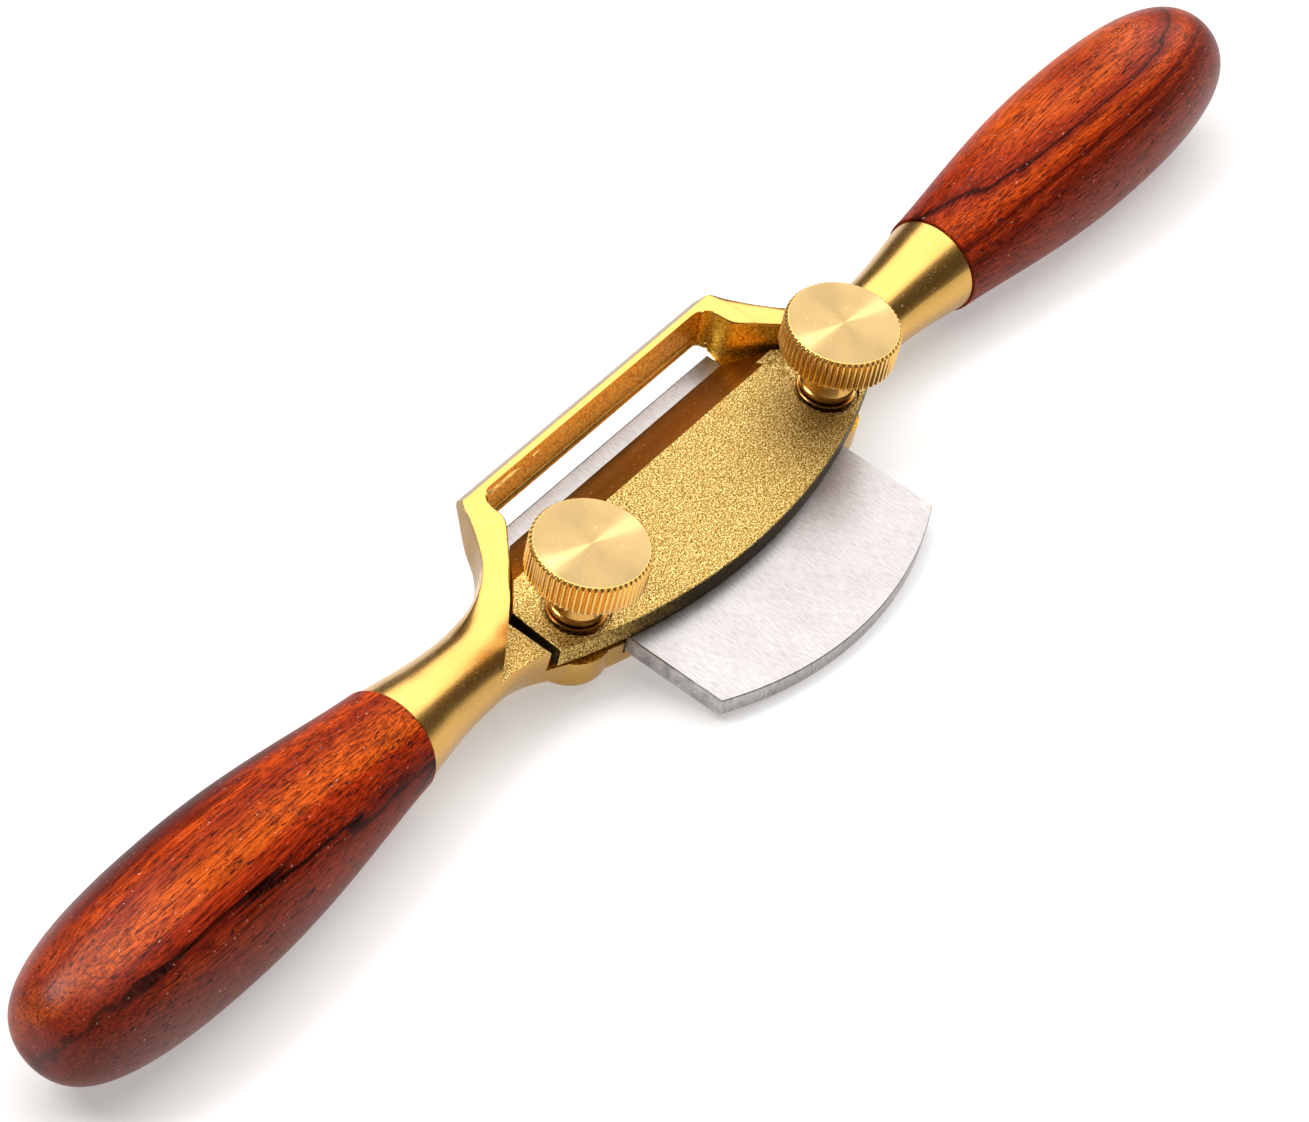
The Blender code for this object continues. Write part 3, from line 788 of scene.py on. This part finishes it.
def turned_brass():
    brass = Finish("turned_brass", metallic=1.0)
    point = brass.place()
    ring = brass.noise(brass.place((0.3, 0.3, 6.0)), 1.0, 3.0)
    colour = brass.ramp(ring, (0.3, (0.54, 0.28, 0.07)), (0.7, (0.64, 0.36, 0.10)))
    tarnish = brass.noise(point, 0.5)
    return brass.finish(base_color=colour, roughness=brass.span(tarnish, 0.3, 0.7, 0.18, 0.3),
                        normal=brass.bump(ring, 0.01))


def washer_profile():
    inner, outer, edge = SHANK_RADIUS + GAP, WASHER_RADIUS, WASHER_BREAK
    return [(inner, edge), (inner + edge, 0), (outer - edge, 0), (outer, edge),
            (outer, WASHER_THICK - edge), (outer - edge, WASHER_THICK),
            (inner + edge, WASHER_THICK), (inner, WASHER_THICK - edge)]


turned = turned_brass()
for end, side in (("left", -1), ("right", 1)):
    washer = add_piece(f"washer_ring_{end}", lathe(washer_profile(), 96),
                       stand((side * SCREW_X, SCREW_Y, pocket_floor + GAP)))
    coat(washer, [turned])
    hand_over(washer, f"washer_{end}", f"washer_{end}")


# The thumbscrews: each is turned from one brass bar, with a straight-knurled head, a
# faced top, a neck, a collar that presses on the washer, and a shank.
TEETH, STEPS_PER_TOOTH = 60, 8
TOOTH_DEPTH = 0.45
HEAD_RADIUS, HEAD_TOP_RADIUS = 9.0, 8.5
HEAD_LOW, HEAD_HIGH = 12.4, 18.0
COLLAR_RADIUS, NECK_RADIUS = 4.2, 3.85


def knurl(radius, height, step):
    """Cuts the grooves between the teeth into the rim of the head."""
    if height < HEAD_LOW or radius <= HEAD_TOP_RADIUS:
        return radius
    across = (step % STEPS_PER_TOOTH) / STEPS_PER_TOOTH
    groove = (0.5 - 0.5 * math.cos(2 * math.pi * across)) ** 2
    return radius - min(TOOTH_DEPTH * groove, radius - HEAD_TOP_RADIUS)


def screw_profile():
    """Shank, collar, neck and head, from the foot up."""
    foot = pocket_floor + WASHER_THICK + 2 * GAP
    collar, neck = COLLAR_RADIUS, NECK_RADIUS
    return [(0, -7.0), (1.9, -7.0), (SHANK_RADIUS, -6.4), (SHANK_RADIUS, foot),
            (collar - 0.15, foot), (collar, foot + 0.15), (collar, foot + 0.75),
            (collar - 0.15, foot + 0.9), (neck + 0.1, foot + 0.95), (neck, foot + 1.1),
            (neck, HEAD_LOW - 0.3), (neck + 0.3, HEAD_LOW - 0.02),
            (8.2, HEAD_LOW - 0.01), (8.7, HEAD_LOW + 0.02), (8.95, HEAD_LOW + 0.22),
            (HEAD_RADIUS, HEAD_LOW + 0.45), (HEAD_RADIUS, HEAD_HIGH - 0.62),
            (8.88, HEAD_HIGH - 0.36), (8.65, HEAD_HIGH - 0.14), (HEAD_TOP_RADIUS, HEAD_HIGH - 0.03),
            (HEAD_TOP_RADIUS - 0.1, HEAD_HIGH), (4.0, HEAD_HIGH), (0, HEAD_HIGH)]


def faced_brass():
    """The top of the head, whose fine turning rings spread the light along the radius."""
    brass = Finish("faced_brass", metallic=1.0, anisotropic=1.0, anisotropic_rotation=0.25)
    point = brass.place()
    wear = brass.noise(point, 0.25, 2.0)
    dust = brass.span(brass.noise(point, 2.4, 1.0), 0.73, 0.77)
    colour = brass.mix(dust, (0.56, 0.39, 0.17, 1.0), (0.9, 0.8, 0.55, 1.0))
    return brass.finish(base_color=colour, roughness=brass.span(wear, 0.3, 0.7, 0.42, 0.48),
                        normal=brass.bump(dust, 0.02))


KNURLED, FACED, TURNED = range(3)


def screw_finish(centre, normal):
    if centre.z > HEAD_HIGH - 0.01 and normal.z > 0.9:
        return FACED
    return KNURLED if centre.z > HEAD_LOW - 0.01 else TURNED


# Painted light: the knurled heads get a satin copy 1.3 times as bright.
knurled, faced = satin_brass("knurled_brass_painted_light", 1.3), faced_brass()
for end, side in (("left", -1), ("right", 1)):
    screw = add_piece(f"screw_{end}", lathe(screw_profile(), TEETH * STEPS_PER_TOOTH, knurl),
                      stand((side * SCREW_X, SCREW_Y, 0)))
    coat(screw, [knurled, faced, turned], screw_finish, 40)
    hand_over(screw, f"thumbscrew_{end}", f"thumbscrew_{end}")


# The handles: rosewood turned to a long egg, sanded and waxed. The grain runs along the
# handle, with dark figure lines, open pores and faint turning marks across.
HANDLE_LENGTH, HANDLE_END_RADIUS, HANDLE_MAX_RADIUS, HANDLE_BELLY = 74.4, 8.37, 12.22, 0.55
TANG_IN_HANDLE = 45.0


def handle_radius(u):
    """The radius at a share u of the handle's length from the arm."""
    if u <= HANDLE_BELLY:
        swell = math.sin(math.pi / 2 * u / HANDLE_BELLY) ** 1.2
        return HANDLE_END_RADIUS + (HANDLE_MAX_RADIUS - HANDLE_END_RADIUS) * swell
    t = (u - HANDLE_BELLY) / (1 - HANDLE_BELLY)
    return HANDLE_MAX_RADIUS * (1 - t**2.5) ** (1 / 3.3)


def handle_profile():
    """The tang's bore, the end face and the outside."""
    bore, depth = TANG_RADIUS + GAP, TANG_IN_HANDLE + 1.0
    body = [k / 40 * HANDLE_BELLY for k in range(1, 41)]
    nose = [HANDLE_BELLY + (1 - HANDLE_BELLY) * math.sin(math.pi / 2 * k / 40)
            for k in range(1, 40)]
    outside = [(handle_radius(u), u * HANDLE_LENGTH) for u in body + nose]
    rim = [(HANDLE_END_RADIUS - 0.15, 0.0), (HANDLE_END_RADIUS, 0.15)]
    return [(0, depth), (bore, depth), (bore, 0)] + rim + outside + [(0, HANDLE_LENGTH)]


def rosewood(end, flip, bands, looped):
    """Grain in bands that run straight along the handle, or in a loop on its front.

    flip is 1 where the piece's own X points up and -1 where it points down.
    """
    wood = Finish(f"rosewood_{end}", metallic=0.0, specular_ior_level=0.03, coat_roughness=0.36)
    point = wood.place()
    up, ahead, out = (wood.node("ShaderNodeSeparateXYZ", {}, {"Vector": point}, k) for k in "XYZ")
    another_log = grey(30.0 if looped else 0.0)

    def grain(across, lengthwise):
        """Stretches the wood's noise across the handle and along it."""
        return wood.node("ShaderNodeVectorMath", {"operation": "MULTIPLY_ADD"},
                         {0: point, 1: (across, across, lengthwise), 2: another_log})

    # The figure: each layer of the wood has its colour.
    wander = wood.noise(grain(0.05, 0.016), 1.0, 1.0) - 0.5
    band = (ahead * 0.92 + up * (0.38 * flip)) / HANDLE_MAX_RADIUS
    reach = out / HANDLE_LENGTH
    layer = (band + (0.5 - reach) * 0.3 + wander * 0.6) * 0.5 + 0.5
    if looped:
        lengthwise, sideways = (reach ** 1.6 - 0.42) / 0.46, (band + wander * 0.5 - 0.75) / 0.6
        layer = (lengthwise * lengthwise + sideways * sideways) ** 0.5 / 2.2
    streak = wood.noise(grain(0.45, 0.012), 1.0, 3.0, 0.55)
    mottle = wood.noise(grain(3.4, 1.0), 1.0, 4.0, 0.75)
    layer = layer + (streak - 0.5) * (0.10 if looped else 0.26) + (mottle - 0.5) * 0.02
    colour = wood.ramp(layer, *bands)

    # The fibres and dark veins, a painted reflection of the table that turns the back side pinkish
    # brown, and a darker nose.
    fibre = wood.noise(grain(3.4, 0.13), 1.0, 4.0, 0.7)
    tone = wood.ramp(fibre * 0.68 + mottle * 0.32, (0.39, (0.14, 0.08, 0.06)),
                     (0.49, (0.62, 0.52, 0.42)), (0.57, (1.0, 1.0, 0.9)))
    colour = wood.mix(1.0, colour, tone, "MULTIPLY")
    vein = wood.span(wood.noise(grain(0.9, 0.03), 1.0, 2.0), 0.58, 0.66)
    colour = wood.mix(vein * 0.45, colour, (0.08, 0.008, 0.004, 1.0))
    rear, rearmost = wood.span(band, 0.1, -0.5), wood.span(band, -0.42, -0.85)
    # Painted reflection: the back side takes a pinkish brown, the table's reflection painted in.
    colour = wood.mix(rearmost * 0.35, colour, (0.30, 0.085, 0.055, 1.0))
    colour = wood.mix(wood.span(reach, 0.80, 0.97) * 0.45, colour, (0.15, 0.028, 0.016, 1.0))

    # Open pores, patches of turning marks, dust, and wax on the nose and towards the back.
    pores = wood.span(wood.noise(grain(2.6, 0.42), 1.0, 1.0) + rear * 0.04, 0.665, 0.72)
    hatch = wood.span(wood.noise(grain(0.8, 3.6), 1.0, 1.0), 0.54, 0.64)
    patch = wood.span(wood.noise(grain(0.13, 0.09), 1.0, 1.0), 0.42, 0.56)
    colour = wood.mix(hatch * patch * 0.5, colour, (0.10, 0.02, 0.012, 1.0))
    colour = wood.mix(pores * 0.9, colour, (0.03, 0.005, 0.004, 1.0))
    dust = wood.span(wood.noise(wood.place((1, 1, 0.5)), 2.6, 1.0), 0.75, 0.78)
    colour = wood.mix(dust * 0.5, colour, (0.85, 0.6, 0.5, 1.0))
    height = fibre * 0.4 - pores * 1.2 - hatch * 0.3
    wax = wood.span(reach, 0.60, 0.85, 0.0, 0.35) + rearmost * 0.2
    return wood.finish(base_color=colour, roughness=wood.span(fibre, 0.3, 0.7, 0.30, 0.42),
                       coat_weight=wax, normal=wood.bump(height, 0.05))


straight = [(0.06, (0.20, 0.028, 0.014)), (0.22, (0.34, 0.040, 0.011)),
            (0.325, (0.24, 0.020, 0.006)), (0.35, (0.02, 0.002, 0.001)),
            (0.37, (0.02, 0.002, 0.001)), (0.395, (0.30, 0.024, 0.006)),
            (0.50, (0.48, 0.042, 0.007)), (0.58, (0.76, 0.125, 0.010)),
            (0.66, (0.58, 0.085, 0.008)), (0.73, (0.34, 0.030, 0.006)),
            (0.80, (0.58, 0.070, 0.008)), (0.90, (0.22, 0.018, 0.005)),
            (1.00, (0.08, 0.008, 0.004))]
loop = [(0.00, (0.36, 0.032, 0.007)), (0.22, (0.66, 0.105, 0.012)), (0.36, (0.42, 0.042, 0.007)),
        (0.440, (0.28, 0.025, 0.005)), (0.453, (0.03, 0.003, 0.001)), (0.460, (0.05, 0.005, 0.002)),
        (0.475, (0.34, 0.030, 0.006)), (0.57, (0.66, 0.090, 0.010)), (0.65, (0.46, 0.046, 0.007)),
        (0.71, (0.14, 0.011, 0.004)), (0.76, (0.42, 0.044, 0.009)), (0.84, (0.20, 0.018, 0.006)),
        (0.95, (0.34, 0.042, 0.016))]
for end, side, bands, looped in (("left", -1, straight, False), ("right", 1, loop, True)):
    start = Vector((side * JOINT_X, JOINT_Y, JOINT_Z)) + GAP * handle_axis(side)
    grip = add_piece(f"grip_{end}", lathe(handle_profile(), 128), stand(start, handle_axis(side)))
    coat(grip, [rosewood(end, -side, bands, looped)])
    hand_over(grip, "frame", f"handle_{end}")


# The tangs: steel rods inside the arms and the handles, which hide them. They keep their
# plain solids and only get their steel.
def drawn_steel():
    steel = Finish("drawn_steel", metallic=1.0)
    draw = steel.noise(steel.place((0.1, 4.0, 4.0)), 1.0, 3.0)
    colour = steel.ramp(draw, (0.3, (0.5, 0.49, 0.48)), (0.7, (0.62, 0.61, 0.6)))
    return steel.finish(base_color=colour,
                        roughness=steel.span(draw, 0.3, 0.7, 0.3, 0.45))


drawn = drawn_steel()
for end in ("left", "right"):
    frame["nodes"][f"tang_{end}"].material_slots[0].material = drawn
